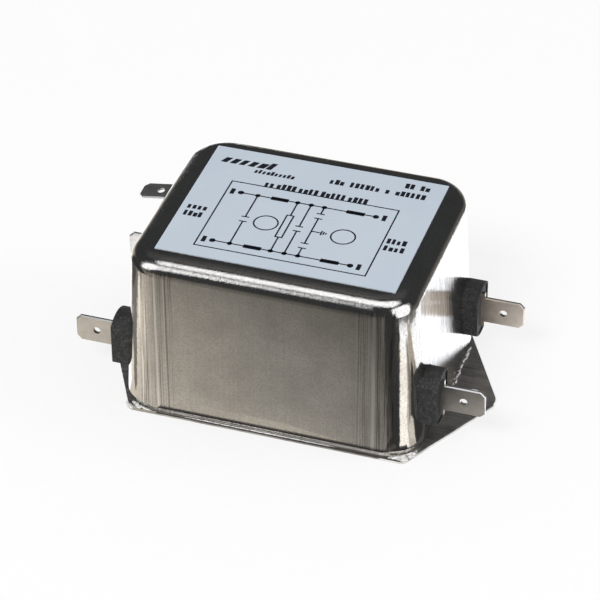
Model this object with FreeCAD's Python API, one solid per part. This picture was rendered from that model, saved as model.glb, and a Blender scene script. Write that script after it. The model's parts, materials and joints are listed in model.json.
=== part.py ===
import FreeCAD, Part
import math
import os

# EMI line filter: a drawn steel can on an eared base plate, with four insulated
# blade terminals, an earth tab, a rating label and a two-stage filter inside.
# Millimetres. The origin is the middle of the mounting face, +Z is up, +X points
# to the load side and -Y is the long side that faces the viewer.

Vector = FreeCAD.Vector
X_AXIS = Vector(1, 0, 0)
Y_AXIS = Vector(0, 1, 0)
Z_AXIS = Vector(0, 0, 1)

# Base plate
overall_length = 85.0
hole_spacing = 75.0
ear_hole_diameter = 5.3
plate_side_length = 59.6
plate_thickness = 0.8
plate_margin = 0.1
ear_tip_radius = 3.5
plate_corner_radius = 1.2

# Can
can_length = 65.2
can_width = 49.0
can_top = 39.0
end_draft = math.radians(3.5)
can_corner_radius = 8.0
top_edge_radius = 3.8
can_wall = 0.6
rim_height = 1.5
rim_tuck = 0.45

# Rating label
label_length = 50.7
label_width = 39.2
label_thickness = 0.15
label_offset = 0.7

# Blade terminals, 6.3 mm tabs with a shoulder that seats in the bushing's face
terminal_spacing = 31.4
terminal_height = 12.2
terminal_span = 88.6
tab_width = 6.3
tab_thickness = 0.8
tab_corner = 1.0
tab_bevel = 0.2
tab_hole_diameter = 1.65
tab_hole_from_tip = 4.5
shoulder_width = 8.6
shoulder_stand = 0.5
neck_width = 4.6
neck_length = 8.0
lug_eye_diameter = 1.4
lug_eye_from_end = 1.2

# Moulded bushings, round with a flat on each side
bushing_diameter = 12.0
bushing_flat_width = 8.2
bushing_span = 70.4
bushing_edge_radius = 0.25
bushing_flange_diameter = 14.0
bushing_flange_thickness = 1.2
face_recess_depth = 0.3
face_rim_width = 0.5
bushing_hole_clearance = 0.1
slot_clearance = 0.05

# Earth tab, a folded 4.8 mm strip welded to the line end of the can
earth_tab_width = 4.8
earth_tab_thickness = 0.5
earth_tab_bevel = 0.12
earth_tab_inset = 8.9
earth_tab_height = 28.4
earth_tab_reach = 10.0
earth_tab_droop = math.radians(13.0)
earth_tab_twist = math.radians(-4.5)
earth_foot_length = 6.0
earth_bend_radius = 0.6

# Circuit board and what carries it
insulator_thickness = 0.5
insulator_margin = 1.5
spacer_diameter = 5.0
spacer_height = 4.0
spacer_inset = 6.0
board_thickness = 1.6
board_clearance = 0.6
lead_stub = 1.0
lead_clearance = 0.1

# Common-mode chokes
core_outer_diameter = 25.0
core_inner_diameter = 13.0
core_length = 9.0
core_edge_bevel = 0.8
choke_wire_diameter = 1.5
choke_turns = 7
winding_arc = math.radians(120.0)
winding_gap = 0.1
wire_bend_radius = 1.0
lead_step = 2.2
input_choke_x = -12.5
output_choke_x = 14.0
cradle_web = 2.5
cradle_width = 8.0
cradle_length = 8.0
cradle_grip = 1.5
divider_thickness = 1.5
divider_length = 11.0
seat_clearance = 0.05

# Capacitors, bleed resistor and wiring
x_cap_length = 26.5
x_cap_pitch = 22.5
input_x_cap_thickness = 8.5
input_x_cap_height = 19.0
input_x_cap_x = -24.2
middle_x_cap_thickness = 7.5
middle_x_cap_height = 17.0
middle_x_cap_x = 0.3
x_cap_edge_radius = 0.8
cap_lead_diameter = 0.8
y_cap_diameter = 8.5
y_cap_thickness = 4.0
y_cap_pitch = 5.0
y_cap_x = 25.5
y_cap_y = 6.5
y_cap_stand = 2.0
resistor_length = 9.0
resistor_diameter = 3.2
resistor_waist_diameter = 2.8
resistor_end_length = 1.6
resistor_pitch = 13.0
resistor_lead_diameter = 0.7
resistor_inset = 6.5
resistor_stand = 0.4
lead_bend_radius = 1.2
jumper_diameter = 1.0
jumper_offset = 1.6
jumper_reach = 0.9
earth_pin_diameter = 1.2
earth_pin_x = 25.5
earth_pin_stand = 0.8

# Levels and places that follow from the sizes above
insulator_top = plate_thickness + insulator_thickness
board_bottom = insulator_top + spacer_height
board_top = board_bottom + board_thickness
choke_axis_height = board_top + cradle_web + core_outer_diameter / 2
resistor_y = can_width / 2 - resistor_inset
earth_tab_y = can_width / 2 - earth_tab_inset
terminal_places = {
    "input_line": (-1, -terminal_spacing / 2),
    "input_neutral": (-1, terminal_spacing / 2),
    "output_line": (1, -terminal_spacing / 2),
    "output_neutral": (1, terminal_spacing / 2),
}


def half_length(z, inset=0.0):
    """Half of the can's length at a height: the end walls lean inwards."""
    return can_length / 2 - z * math.tan(end_draft) - inset


def place(shape, angle, axis, move):
    """A copy turned about the origin, then moved."""
    copy = shape.copy()
    copy.rotate(Vector(0, 0, 0), axis, math.degrees(angle))
    copy.translate(move)
    return copy


def cylinder(diameter, start, direction, length):
    return Part.makeCylinder(diameter / 2, length, start, direction)


def block(low, high):
    size = high - low
    return Part.makeBox(size.x, size.y, size.z, low)


def closed_prism(points, direction):
    """A flat outline of straight edges, extruded."""
    wire = Part.makePolygon(points + [points[0]])
    return Part.Face(wire).extrude(direction)


def rounded_rectangle(half_x, half_y, radius, z):
    """A closed outline of four straight edges and four corner arcs."""
    corners = []
    for quarter in range(4):
        sign_x = 1 if quarter in (0, 3) else -1
        sign_y = 1 if quarter in (0, 1) else -1
        centre = Vector(sign_x * (half_x - radius), sign_y * (half_y - radius), z)
        angles = [math.pi / 4 * (2 * quarter + step) for step in range(3)]
        corners.append([centre + Vector(math.cos(a), math.sin(a), 0) * radius for a in angles])
    edges = []
    for index, corner in enumerate(corners):
        after = corners[(index + 1) % 4]
        edges.append(Part.Arc(*corner).toShape())
        edges.append(Part.LineSegment(corner[2], after[0]).toShape())
    return Part.Wire(edges)


def edges_at_height(shape, z):
    """The edges that lie flat at one height."""
    return [e for e in shape.Edges if all(abs(v.Z - z) < 1e-4 for v in e.Vertexes)]


def edges_at_x(shape, x):
    """The edges that lie in one plane across the part."""
    return [e for e in shape.Edges if all(abs(v.X - x) < 1e-4 for v in e.Vertexes)]


def rounded_path(points, radius):
    """Straight runs through the points, joined by tangent arcs."""
    edges = []
    here = points[0]
    for before, corner, after in zip(points, points[1:], points[2:]):
        into = (corner - before).normalize()
        out = (after - corner).normalize()
        turn = into.getAngle(out)
        trim = radius * math.tan(turn / 2)
        first = corner - into * trim
        last = corner + out * trim
        inward = (out - into).normalize()
        middle = corner + inward * (radius / math.cos(turn / 2) - radius)
        edges.append(Part.LineSegment(here, first).toShape())
        edges.append(Part.Arc(first, middle, last).toShape())
        here = last
    edges.append(Part.LineSegment(here, points[-1]).toShape())
    return Part.Wire(edges)


def swept_wire(points, diameter, radius):
    """Round wire along a path of runs and arcs."""
    path = rounded_path(points, radius)
    direction = points[1] - points[0]
    circle = Part.Wire(Part.makeCircle(diameter / 2, points[0], direction))
    return path.makePipeShell([circle], True, False)


def can_block(inset, top, edge_radius):
    """The can's form, inset by its wall for the space inside."""
    levels = [
        (plate_thickness, rim_tuck + inset),
        (plate_thickness + rim_height, inset),
        (top, inset),
    ]
    sections = []
    for z, step in levels:
        corner = can_corner_radius - step
        sections.append(rounded_rectangle(half_length(z, step), can_width / 2 - step, corner, z))
    body = Part.makeLoft(sections, True, True)
    return body.makeFillet(edge_radius, edges_at_height(body, top))


def can_cavity():
    return can_block(can_wall, can_top - can_wall, top_edge_radius - can_wall)


def double_d(diameter, flat_width, x):
    """The bushing's outline across the part: a circle with two flats."""
    radius = diameter / 2
    flat = flat_width / 2
    rise = math.sqrt(radius * radius - flat * flat)
    top = [Vector(x, flat, rise), Vector(x, 0, radius), Vector(x, -flat, rise)]
    bottom = [Vector(x, -flat, -rise), Vector(x, 0, -radius), Vector(x, flat, -rise)]
    edges = [
        Part.Arc(*top).toShape(),
        Part.LineSegment(top[2], bottom[0]).toShape(),
        Part.Arc(*bottom).toShape(),
        Part.LineSegment(bottom[2], top[0]).toShape(),
    ]
    return Part.Wire(edges)


def double_d_prism(diameter, flat_width, x_from, x_to):
    face = Part.Face(double_d(diameter, flat_width, x_from))
    return face.extrude(X_AXIS * (x_to - x_from))


def at_terminal(shape, side, y):
    """A piece made at the load end on the axis, set at one of the four places."""
    angle = 0.0 if side > 0 else math.pi
    return place(shape, angle, Z_AXIS, Vector(0, y, terminal_height))


def bushing_inner_x():
    """Where the flange ends, measured on the wall at its highest point."""
    flange_top = terminal_height + bushing_flange_diameter / 2
    return half_length(flange_top, can_wall) - bushing_flange_thickness


def can():
    shell = can_block(0.0, can_top, top_edge_radius).cut(can_cavity())
    opening = double_d_prism(
        bushing_diameter + 2 * bushing_hole_clearance,
        bushing_flat_width + 2 * bushing_hole_clearance,
        bushing_inner_x(),
        bushing_span / 2,
    )
    for side, y in terminal_places.values():
        shell = shell.cut(at_terminal(opening, side, y))
    return shell


def plate_outline():
    """One half of the six-sided plate: the tangent from its corner to the ear's round tip."""
    corner = Vector(plate_side_length / 2, can_width / 2 + plate_margin, 0)
    centre = Vector(overall_length / 2 - ear_tip_radius, 0, 0)
    reach = corner - centre
    angle = math.atan2(reach.y, reach.x) - math.acos(ear_tip_radius / reach.Length)
    touch = centre + Vector(math.cos(angle), math.sin(angle), 0) * ear_tip_radius
    tip = Vector(overall_length / 2, 0, 0)
    return corner, touch, tip


def mirrored(point, sign_x, sign_y):
    return Vector(sign_x * point.x, sign_y * point.y, point.z)


def base_plate():
    corner, touch, tip = plate_outline()
    edges = []
    for sign in (1, -1):
        low = mirrored(touch, sign, -sign)
        high = mirrored(touch, sign, sign)
        near = mirrored(corner, sign, -sign)
        far = mirrored(corner, sign, sign)
        edges.append(Part.LineSegment(near, low).toShape())
        edges.append(Part.Arc(low, mirrored(tip, sign, 1), high).toShape())
        edges.append(Part.LineSegment(high, far).toShape())
        edges.append(Part.LineSegment(far, mirrored(corner, -sign, sign)).toShape())
    plate = Part.Face(Part.Wire(edges)).extrude(Z_AXIS * plate_thickness)
    uprights = []
    for edge in plate.Edges:
        at_corner = all(abs(abs(v.X) - corner.x) < 1e-4 for v in edge.Vertexes)
        if at_corner and abs(edge.Length - plate_thickness) < 1e-4:
            uprights.append(edge)
    plate = plate.makeFillet(plate_corner_radius, uprights)
    for side in (-1, 1):
        start = Vector(side * hole_spacing / 2, 0, 0)
        plate = plate.cut(cylinder(ear_hole_diameter, start, Z_AXIS, plate_thickness))
    return plate


def bushing(side, y):
    """Through the end wall, with a face that is sunk inside a thin rim and a flange behind the wall."""
    inner = bushing_inner_x()
    outer = bushing_span / 2
    body = double_d_prism(bushing_diameter, bushing_flat_width, inner, outer)
    body = body.makeFillet(bushing_edge_radius, edges_at_x(body, outer))
    recess = double_d_prism(
        bushing_diameter - 2 * face_rim_width,
        bushing_flat_width - 2 * face_rim_width,
        outer - face_recess_depth,
        outer,
    )
    slot_half = Vector(0, tab_thickness / 2 + slot_clearance, neck_width / 2 + slot_clearance)
    slot = block(Vector(inner, 0, 0) - slot_half, Vector(outer, 0, 0) + slot_half)
    flange_flat = bushing_flat_width + bushing_flange_diameter - bushing_diameter
    flange = double_d_prism(bushing_flange_diameter, flange_flat, inner, outer)
    flange = at_terminal(flange, side, y).common(can_cavity())
    body = at_terminal(body, side, y).fuse(flange)
    return body.cut(at_terminal(recess.fuse(slot), side, y)).removeSplitter()


def tab_outline(root, tip, half_width):
    """The free end of a blade: straight sides and cut corners."""
    return [
        (root, half_width),
        (tip - tab_corner, half_width),
        (tip, half_width - tab_corner),
        (tip, tab_corner - half_width),
        (tip - tab_corner, -half_width),
        (root, -half_width),
    ]


def bevel_tab(blade, root, along, bevel):
    """Breaks the long edges and the cut corners of a blade past its root."""
    chosen = []
    for edge in blade.Edges:
        ends = [v.Point for v in edge.Vertexes]
        if len(ends) != 2 or abs((ends[1] - ends[0]).dot(along)) > 1e-4:
            continue
        if max(p.x for p in ends) > root + bevel and edge.Curve.TypeId == "Part::GeomLine":
            chosen.append(edge)
    return blade.makeChamfer(bevel, chosen)


def blade_terminal(side, y):
    """Flat strip: solder lug, neck through the bushing, seated shoulder and free tab."""
    seat = bushing_span / 2 - face_recess_depth
    root = bushing_span / 2 + shoulder_stand
    tip = terminal_span / 2
    lug_end = bushing_span / 2 - neck_length
    neck = neck_width / 2
    shoulder = shoulder_width / 2
    inner_side = [(lug_end, -neck), (lug_end, neck), (seat, neck), (seat, shoulder), (root, shoulder)]
    outer_side = [(root, -shoulder), (seat, -shoulder), (seat, -neck)]
    outline = inner_side + tab_outline(root, tip, tab_width / 2) + outer_side
    points = [Vector(x, -tab_thickness / 2, z) for x, z in outline]
    blade = closed_prism(points, Y_AXIS * tab_thickness)
    blade = bevel_tab(blade, root, Y_AXIS, tab_bevel)
    across = Y_AXIS * -tab_thickness
    for x, diameter in (
        (tip - tab_hole_from_tip, tab_hole_diameter),
        (lug_end + lug_eye_from_end, lug_eye_diameter),
    ):
        blade = blade.cut(cylinder(diameter, Vector(x, 0, 0) + across, Y_AXIS, 2 * tab_thickness))
    return at_terminal(blade, side, y)


def ring_sector(centre, inner_radius, outer_radius, width, first, last):
    """Part of a bent strip: a ring across Y between two angles in the XZ plane."""
    start = centre - Y_AXIS * (width / 2)
    ring = Part.makeCylinder(outer_radius, width, start, Y_AXIS)
    ring = ring.cut(Part.makeCylinder(inner_radius, width, start, Y_AXIS))
    reach = 3 * outer_radius
    corners = [start]
    for angle in (first, (first + last) / 2, last):
        corners.append(start + Vector(math.cos(angle), 0, math.sin(angle)) * reach)
    return ring.common(closed_prism(corners, Y_AXIS * width))


def earth_tab():
    """Strip folded past a right angle: the foot lies on the sloping end wall, the blade stands out."""
    half_width = earth_tab_width / 2
    outer_radius = earth_bend_radius + earth_tab_thickness
    foot = block(
        Vector(0, -half_width, -earth_foot_length),
        Vector(earth_tab_thickness, half_width, -outer_radius),
    )
    centre = Vector(outer_radius, 0, -outer_radius)
    square = math.pi / 2
    bend = ring_sector(
        centre, earth_bend_radius, outer_radius, earth_tab_width, 2 * square, square - earth_tab_droop
    )
    outline = tab_outline(outer_radius, earth_tab_reach, half_width)
    points = [Vector(x, width, -earth_tab_thickness) for x, width in outline]
    blade = closed_prism(points, Z_AXIS * earth_tab_thickness)
    blade = bevel_tab(blade, outer_radius, Z_AXIS, earth_tab_bevel)
    hole_at = Vector(earth_tab_reach - tab_hole_from_tip, 0, -2 * earth_tab_thickness)
    blade = blade.cut(cylinder(tab_hole_diameter, hole_at, Z_AXIS, 3 * earth_tab_thickness))
    blade.rotate(centre, Y_AXIS, math.degrees(earth_tab_droop))
    tab = foot.fuse(bend).fuse(blade).removeSplitter()
    tab.rotate(Vector(0, 0, 0), X_AXIS, math.degrees(earth_tab_twist))
    tab.rotate(Vector(0, 0, 0), Z_AXIS, 180.0)
    tab.rotate(Vector(0, 0, 0), Y_AXIS, math.degrees(end_draft))
    tab.translate(Vector(-half_length(earth_tab_height), earth_tab_y, earth_tab_height))
    return tab


def rating_label():
    low = Vector(label_offset - label_length / 2, -label_width / 2, can_top)
    return block(low, low + Vector(label_length, label_width, label_thickness))


def board_outline(margin, z):
    """A sheet that follows the can's inside, clear of the bushings' flanges."""
    half_x = bushing_inner_x() - margin
    half_y = can_width / 2 - rim_tuck - can_wall - margin
    corner = can_corner_radius - can_wall - margin
    return rounded_rectangle(half_x, half_y, corner, z)


def spacer_places():
    x = bushing_inner_x() - spacer_inset
    y = can_width / 2 - spacer_inset
    return [Vector(sx * x, sy * y, 0) for sx in (-1, 1) for sy in (-1, 1)]


def board_spacers():
    pegs = []
    for point in spacer_places():
        pegs.append(cylinder(spacer_diameter, point + Z_AXIS * insulator_top, Z_AXIS, spacer_height))
    return Part.makeCompound(pegs)


def bottom_insulator():
    sheet = Part.Face(board_outline(insulator_margin, plate_thickness))
    sheet = sheet.extrude(Z_AXIS * insulator_thickness)
    start = Vector(earth_pin_x, 0, 0)
    return sheet.cut(cylinder(earth_pin_diameter + 2 * lead_clearance, start, Z_AXIS, insulator_top))


def winding_points(x, sign):
    """The path of one winding: up from the board, round the core and back down beside it."""
    offset = winding_gap + choke_wire_diameter / 2
    inner = core_inner_diameter / 2 - offset
    outer = core_outer_diameter / 2 + offset
    half = core_length / 2 + offset
    step = winding_arc / (choke_turns - 0.5)
    foot = board_bottom - lead_stub

    def at(along, radius, angle):
        y = sign * radius * math.cos(angle)
        return Vector(x + along, y, choke_axis_height + radius * math.sin(angle))

    start = at(-half, outer, -winding_arc / 2)
    points = [Vector(start.x, start.y, foot), start]
    for turn in range(choke_turns):
        angle = -winding_arc / 2 + step * turn + step / 2
        points.append(at(-half, inner, angle))
        points.append(at(half, inner, angle))
        points.append(at(half, outer, angle + step / 2))
        if turn < choke_turns - 1:
            points.append(at(-half, outer, angle + step / 2))
    last = points[-1] + X_AXIS * lead_step
    return points + [last, Vector(last.x, last.y, foot)]


def choke_winding(x, sign):
    return swept_wire(winding_points(x, sign), choke_wire_diameter, wire_bend_radius)


def choke_core(x):
    """Ferrite ring in its coating, standing on edge across the board."""
    start = Vector(x - core_length / 2, 0, choke_axis_height)
    ring = cylinder(core_outer_diameter, start, X_AXIS, core_length)
    ring = ring.cut(cylinder(core_inner_diameter, start, X_AXIS, core_length))
    rims = edges_at_x(ring, start.x) + edges_at_x(ring, start.x + core_length)
    return ring.makeChamfer(core_edge_bevel, rims)


def choke_divider(x):
    """Keeps the two windings apart across the core's bore."""
    half_y = divider_thickness / 2
    bore = core_inner_diameter / 2
    rise = math.sqrt(bore * bore - half_y * half_y) - seat_clearance
    middle = Vector(x, 0, choke_axis_height)
    half = Vector(divider_length / 2, half_y, rise)
    return block(middle - half, middle + half)


def choke_cradle(x):
    """Moulded saddle between the board and the core."""
    top = board_top + cradle_web + cradle_grip
    low = Vector(x - cradle_length / 2, -cradle_width / 2, board_top)
    saddle = block(low, Vector(x + cradle_length / 2, cradle_width / 2, top))
    start = Vector(x - cradle_length, 0, choke_axis_height)
    seat_diameter = core_outer_diameter + 2 * seat_clearance
    return saddle.cut(cylinder(seat_diameter, start, X_AXIS, 2 * cradle_length))


def straight_lead(x, y, diameter, z_top):
    start = Vector(x, y, board_bottom - lead_stub)
    return cylinder(diameter, start, Z_AXIS, z_top - start.z)


def x_cap_lead_places(x):
    return [(x, -x_cap_pitch / 2), (x, x_cap_pitch / 2)]


def x_capacitor(x, thickness, height):
    """Film capacitor in a moulded box with two leads."""
    low = Vector(x - thickness / 2, -x_cap_length / 2, board_top)
    case = block(low, low + Vector(thickness, x_cap_length, height))
    case = case.makeFillet(x_cap_edge_radius, edges_at_height(case, board_top + height))
    for lead_x, lead_y in x_cap_lead_places(x):
        case = case.fuse(straight_lead(lead_x, lead_y, cap_lead_diameter, board_top))
    return case.removeSplitter()


def y_cap_lead_places(y):
    return [(y_cap_x, y - y_cap_pitch / 2), (y_cap_x, y + y_cap_pitch / 2)]


def y_capacitor(y):
    """Coated ceramic disc on edge with two leads."""
    centre = Vector(y_cap_x, y, board_top + y_cap_stand + y_cap_diameter / 2)
    start = centre - X_AXIS * (y_cap_thickness / 2)
    disc = cylinder(y_cap_diameter, start, X_AXIS, y_cap_thickness)
    rims = edges_at_x(disc, start.x) + edges_at_x(disc, start.x + y_cap_thickness)
    disc = disc.makeFillet(y_cap_thickness / 3, rims)
    for lead_x, lead_y in y_cap_lead_places(y):
        disc = disc.fuse(straight_lead(lead_x, lead_y, cap_lead_diameter, centre.z))
    return disc


def resistor_lead_places():
    return [(-resistor_pitch / 2, resistor_y), (resistor_pitch / 2, resistor_y)]


def bleed_resistor():
    """Axial resistor: a waisted body turned about its leads, which bend down into the board."""
    axis_height = board_top + resistor_stand + resistor_diameter / 2
    half = resistor_length / 2
    full = resistor_diameter / 2
    waist = resistor_waist_diameter / 2
    shoulder = half - resistor_end_length
    slope = full - waist
    profile = [
        (-half, 0.0),
        (-half, full),
        (-shoulder, full),
        (slope - shoulder, waist),
        (shoulder - slope, waist),
        (shoulder, full),
        (half, full),
        (half, 0.0),
    ]
    points = [Vector(x, resistor_y, axis_height + r) for x, r in profile]
    face = Part.Face(Part.makePolygon(points + [points[0]]))
    body = face.revolve(Vector(0, resistor_y, axis_height), X_AXIS, 360)
    (first_x, y), (last_x, y) = resistor_lead_places()
    foot = board_bottom - lead_stub
    path = [
        Vector(first_x, y, foot),
        Vector(first_x, y, axis_height),
        Vector(last_x, y, axis_height),
        Vector(last_x, y, foot),
    ]
    leads = swept_wire(path, resistor_lead_diameter, lead_bend_radius)
    return body.fuse(leads)


def jumper_place(side, y):
    """A jumper stands outside the lug, away from the middle of the board."""
    x = bushing_span / 2 - neck_length + lug_eye_from_end
    outward = 1 if y > 0 else -1
    return side * x, y + outward * jumper_offset, outward


def terminal_jumper(side, y):
    """Wire from the board, hooked through the eye of the terminal's lug."""
    x, wire_y, outward = jumper_place(side, y)
    through = y - outward * (tab_thickness / 2 + jumper_reach)
    path = [
        Vector(x, wire_y, board_bottom - lead_stub),
        Vector(x, wire_y, terminal_height),
        Vector(x, through, terminal_height),
    ]
    return swept_wire(path, jumper_diameter, jumper_diameter)


def earth_pin():
    """Joins the Y capacitors' centre to the base plate."""
    start = Vector(earth_pin_x, 0, plate_thickness)
    return cylinder(earth_pin_diameter, start, Z_AXIS, board_top + earth_pin_stand - plate_thickness)


def winding_lead_places(x, sign):
    points = winding_points(x, sign)
    return [(points[0].x, points[0].y), (points[-1].x, points[-1].y)]


def board_holes():
    """Every lead that passes through the board, with its diameter."""
    holes = [((earth_pin_x, 0), earth_pin_diameter)]
    for x in (input_x_cap_x, middle_x_cap_x):
        holes += [(point, cap_lead_diameter) for point in x_cap_lead_places(x)]
    for y in (-y_cap_y, y_cap_y):
        holes += [(point, cap_lead_diameter) for point in y_cap_lead_places(y)]
    holes += [(point, resistor_lead_diameter) for point in resistor_lead_places()]
    for side, y in terminal_places.values():
        x, wire_y, _ = jumper_place(side, y)
        holes.append(((x, wire_y), jumper_diameter))
    for x in (input_choke_x, output_choke_x):
        for sign in (-1, 1):
            holes += [(point, choke_wire_diameter) for point in winding_lead_places(x, sign)]
    return holes


def circuit_board():
    board = Part.Face(board_outline(board_clearance, board_bottom))
    board = board.extrude(Z_AXIS * board_thickness)
    cutters = []
    for (x, y), diameter in board_holes():
        start = Vector(x, y, board_bottom)
        cutters.append(cylinder(diameter + 2 * lead_clearance, start, Z_AXIS, board_thickness))
    return board.cut(Part.makeCompound(cutters))


def sub_parts():
    """Every node of the part by name."""
    nodes = {
        "can": can(),
        "base_plate": base_plate(),
        "rating_label": rating_label(),
        "earth_tab": earth_tab(),
        "bottom_insulator": bottom_insulator(),
        "board_spacers": board_spacers(),
        "circuit_board": circuit_board(),
        "input_x_capacitor": x_capacitor(input_x_cap_x, input_x_cap_thickness, input_x_cap_height),
        "middle_x_capacitor": x_capacitor(middle_x_cap_x, middle_x_cap_thickness, middle_x_cap_height),
        "line_y_capacitor": y_capacitor(-y_cap_y),
        "neutral_y_capacitor": y_capacitor(y_cap_y),
        "bleed_resistor": bleed_resistor(),
        "earth_pin": earth_pin(),
    }
    for name, (side, y) in terminal_places.items():
        nodes[name + "_bushing"] = bushing(side, y)
        nodes[name + "_terminal"] = blade_terminal(side, y)
        nodes[name + "_jumper"] = terminal_jumper(side, y)
    for name, x in (("input_choke", input_choke_x), ("output_choke", output_choke_x)):
        nodes[name + "_core"] = choke_core(x)
        nodes[name + "_cradle"] = choke_cradle(x)
        nodes[name + "_divider"] = choke_divider(x)
        nodes[name + "_line_winding"] = choke_winding(x, -1)
        nodes[name + "_neutral_winding"] = choke_winding(x, 1)
    return nodes


def main():
    os.makedirs("parts", exist_ok=True)
    for name, shape in sub_parts().items():
        shape.exportStep(os.path.join("parts", name + ".step"))
        print(name, len(shape.Solids), round(shape.Volume, 1), shape.isValid())


main()
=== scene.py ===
import json
import math
import random

import bmesh
import bpy
from mathutils import Matrix, Vector, noise


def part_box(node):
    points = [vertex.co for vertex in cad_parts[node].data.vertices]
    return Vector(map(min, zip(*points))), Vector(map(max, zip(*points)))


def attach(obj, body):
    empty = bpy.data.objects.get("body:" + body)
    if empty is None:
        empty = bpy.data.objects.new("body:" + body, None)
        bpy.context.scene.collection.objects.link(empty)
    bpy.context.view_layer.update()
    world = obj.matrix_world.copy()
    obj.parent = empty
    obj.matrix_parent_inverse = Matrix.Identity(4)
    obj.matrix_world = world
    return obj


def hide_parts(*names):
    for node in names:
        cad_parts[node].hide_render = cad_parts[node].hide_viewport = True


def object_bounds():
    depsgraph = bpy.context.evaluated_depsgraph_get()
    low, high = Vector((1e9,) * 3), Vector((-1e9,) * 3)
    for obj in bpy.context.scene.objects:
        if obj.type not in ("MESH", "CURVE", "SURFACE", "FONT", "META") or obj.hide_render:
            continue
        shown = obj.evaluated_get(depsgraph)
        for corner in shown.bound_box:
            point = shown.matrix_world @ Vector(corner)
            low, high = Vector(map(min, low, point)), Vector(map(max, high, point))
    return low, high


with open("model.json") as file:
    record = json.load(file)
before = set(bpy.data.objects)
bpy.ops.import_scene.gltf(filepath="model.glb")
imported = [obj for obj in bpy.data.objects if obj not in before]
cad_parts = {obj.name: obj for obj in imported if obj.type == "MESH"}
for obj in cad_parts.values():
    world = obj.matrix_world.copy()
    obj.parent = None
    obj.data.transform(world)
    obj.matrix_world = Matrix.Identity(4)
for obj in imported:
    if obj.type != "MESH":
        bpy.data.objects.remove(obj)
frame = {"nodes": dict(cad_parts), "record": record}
cad_low, cad_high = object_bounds()
can_low, can_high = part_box("can")
label_low, label_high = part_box("rating_label")
plate_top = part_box("base_plate")[1].z
nodes = frame["nodes"]
MM = 0.001

# Camera of the photograph: a long lens before the part, above it and a little to its right
CAMERA_AZIMUTH = math.radians(18.223)
CAMERA_ELEVATION = math.radians(36.449)
CAMERA_ROLL = math.radians(-0.36)
CAMERA_DISTANCE = 618.653 * MM
CAMERA_SIDE = -0.234 * MM
CAMERA_RISE = -1.839 * MM
CAMERA_AIM = Vector((0, 0, 20 * MM))
FOCAL_PIXELS = 2965.5
FRAME_PIXELS = 600
SENSOR_MM = 36.0
CLIP_START = 0.05
CLIP_END = 20.0


def make_camera():
    """The scene's camera, at the place that was fitted to the photograph's straight edges."""
    turn, lift, roll = CAMERA_AZIMUTH, CAMERA_ELEVATION, CAMERA_ROLL
    back = Vector((math.sin(turn) * math.cos(lift), -math.cos(turn) * math.cos(lift), math.sin(lift)))
    level = Vector((math.cos(turn), math.sin(turn), 0))
    upright = back.cross(level)
    right = math.cos(roll) * level + math.sin(roll) * upright
    up = -math.sin(roll) * level + math.cos(roll) * upright
    data = bpy.data.cameras.new("photo_camera")
    data.sensor_width = SENSOR_MM
    data.lens = FOCAL_PIXELS / FRAME_PIXELS * SENSOR_MM
    data.clip_start = CLIP_START
    data.clip_end = CLIP_END
    camera = bpy.data.objects.new("photo_camera", data)
    place = CAMERA_AIM + right * CAMERA_SIDE + up * CAMERA_RISE + back * CAMERA_DISTANCE
    facing = Matrix((right, up, back)).transposed().to_4x4()
    camera.matrix_world = Matrix.Translation(place) @ facing
    bpy.context.scene.collection.objects.link(camera)
    bpy.context.scene.camera = camera


# Small helpers for node materials
NOISE_RANGE = (0.3, 0.7)
BELT_EDGE = 0.6 * MM


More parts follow.
